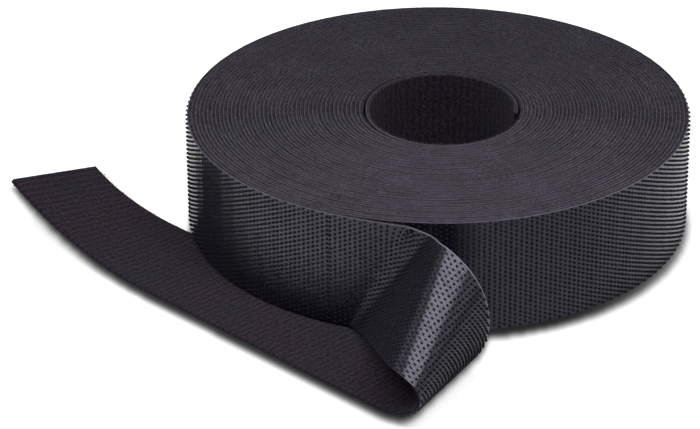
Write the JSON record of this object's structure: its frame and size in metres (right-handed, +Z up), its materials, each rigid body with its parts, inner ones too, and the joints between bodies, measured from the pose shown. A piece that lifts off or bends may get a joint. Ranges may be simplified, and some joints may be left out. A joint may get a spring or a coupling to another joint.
{
  "type": "hook and loop tape roll",
  "caption": "Coreless roll of black back-to-back hook and loop tape, its free end folded over and laid back past the roll's side.",
  "frame": {"origin": "middle of the footprint, on the surface that the roll stands on", "axes": "+Z up; the roll's axis leans 1.2 degrees from it, toward the back right. The free end leaves the roll at the front, folds over and lies back toward the left; front is -Y"},
  "size_m": [0.1456, 0.1466, 0.0306],
  "materials": {
    "hook_film": "satin black moulded film with small hooks",
    "loop_pile": "matte black napped loops"
  },
  "bodies": {
    "root": {"hook_winding": "hook_film", "loop_winding": "loop_pile", "hook_free_end": "hook_film", "loop_free_end": "loop_pile"}
  },
  "joints": []
}
